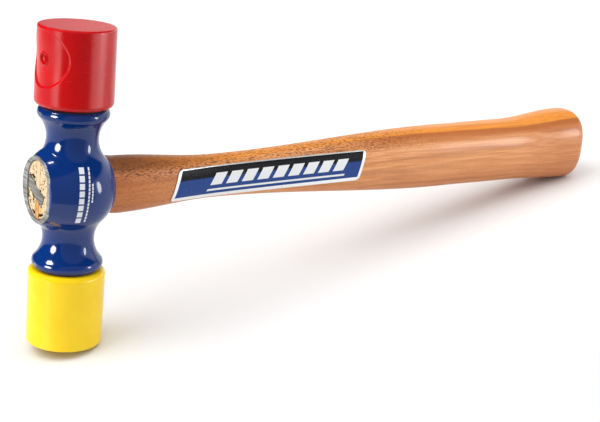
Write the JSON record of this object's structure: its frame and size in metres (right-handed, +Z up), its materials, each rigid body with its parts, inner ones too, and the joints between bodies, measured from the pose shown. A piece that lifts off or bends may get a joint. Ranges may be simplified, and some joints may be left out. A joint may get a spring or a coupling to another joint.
{
  "type": "soft face hammer",
  "caption": "Soft face hammer with screw-on red and yellow plastic tips on a painted steel head, wedged on an oval wooden handle with a plain side label.",
  "frame": {"origin": "middle of the ground that the hammer stands on, below the middle of its box", "axes": "+X along the handle towards its butt, +Y across the head, +Z up from the ground; the head leans towards the butt by the tilt at which one tip's rim and the butt both touch the ground"},
  "size_m": [0.3128, 0.0376, 0.136],
  "materials": {
    "head_paint": "glossy",
    "handle_wood": "lacquered",
    "wedge_wood": "raw",
    "wedge_steel": "rough",
    "red_plastic": "satin",
    "yellow_plastic": "satin",
    "stud_steel": "zinc plated",
    "washer_rubber": "matt",
    "label_film": "glossy"
  },
  "bodies": {
    "hammer": {"head": "head_paint", "handle": "handle_wood", "wooden_wedge": "wedge_wood", "steel_wedge": "wedge_steel", "handle_label": "label_film"},
    "red_washer": {"red_tip_washer": "washer_rubber"},
    "red_tip": {"red_tip": "red_plastic", "red_tip_stud": "stud_steel"},
    "yellow_washer": {"yellow_tip_washer": "washer_rubber"},
    "yellow_tip": {"yellow_tip": "yellow_plastic", "yellow_tip_stud": "stud_steel"}
  },
  "joints": [
    {"name": "red_tip_travel", "type": "slide", "parent": "hammer", "child": "red_washer", "axis": [0.181, 0, 0.9835], "range_m": [0, 0.0137]},
    {"name": "red_tip_screw", "type": "hinge", "parent": "red_washer", "child": "red_tip", "pos_m": [-0.12904, 0, 0.068], "axis": [0.181, 0, 0.9835], "range_deg": [0, 2520]},
    {"name": "yellow_tip_travel", "type": "slide", "parent": "hammer", "child": "yellow_washer", "axis": [-0.181, 0, -0.9835], "range_m": [0, 0.0137]},
    {"name": "yellow_tip_screw", "type": "hinge", "parent": "yellow_washer", "child": "yellow_tip", "pos_m": [-0.12904, 0, 0.068], "axis": [-0.181, 0, -0.9835], "range_deg": [0, 2520]}
  ],
  "couplings": [
    {"joint": "red_tip_travel", "follows": "red_tip_screw", "m_per_rad": 0.00031035},
    {"joint": "yellow_tip_travel", "follows": "yellow_tip_screw", "m_per_rad": 0.00031035}
  ]
}
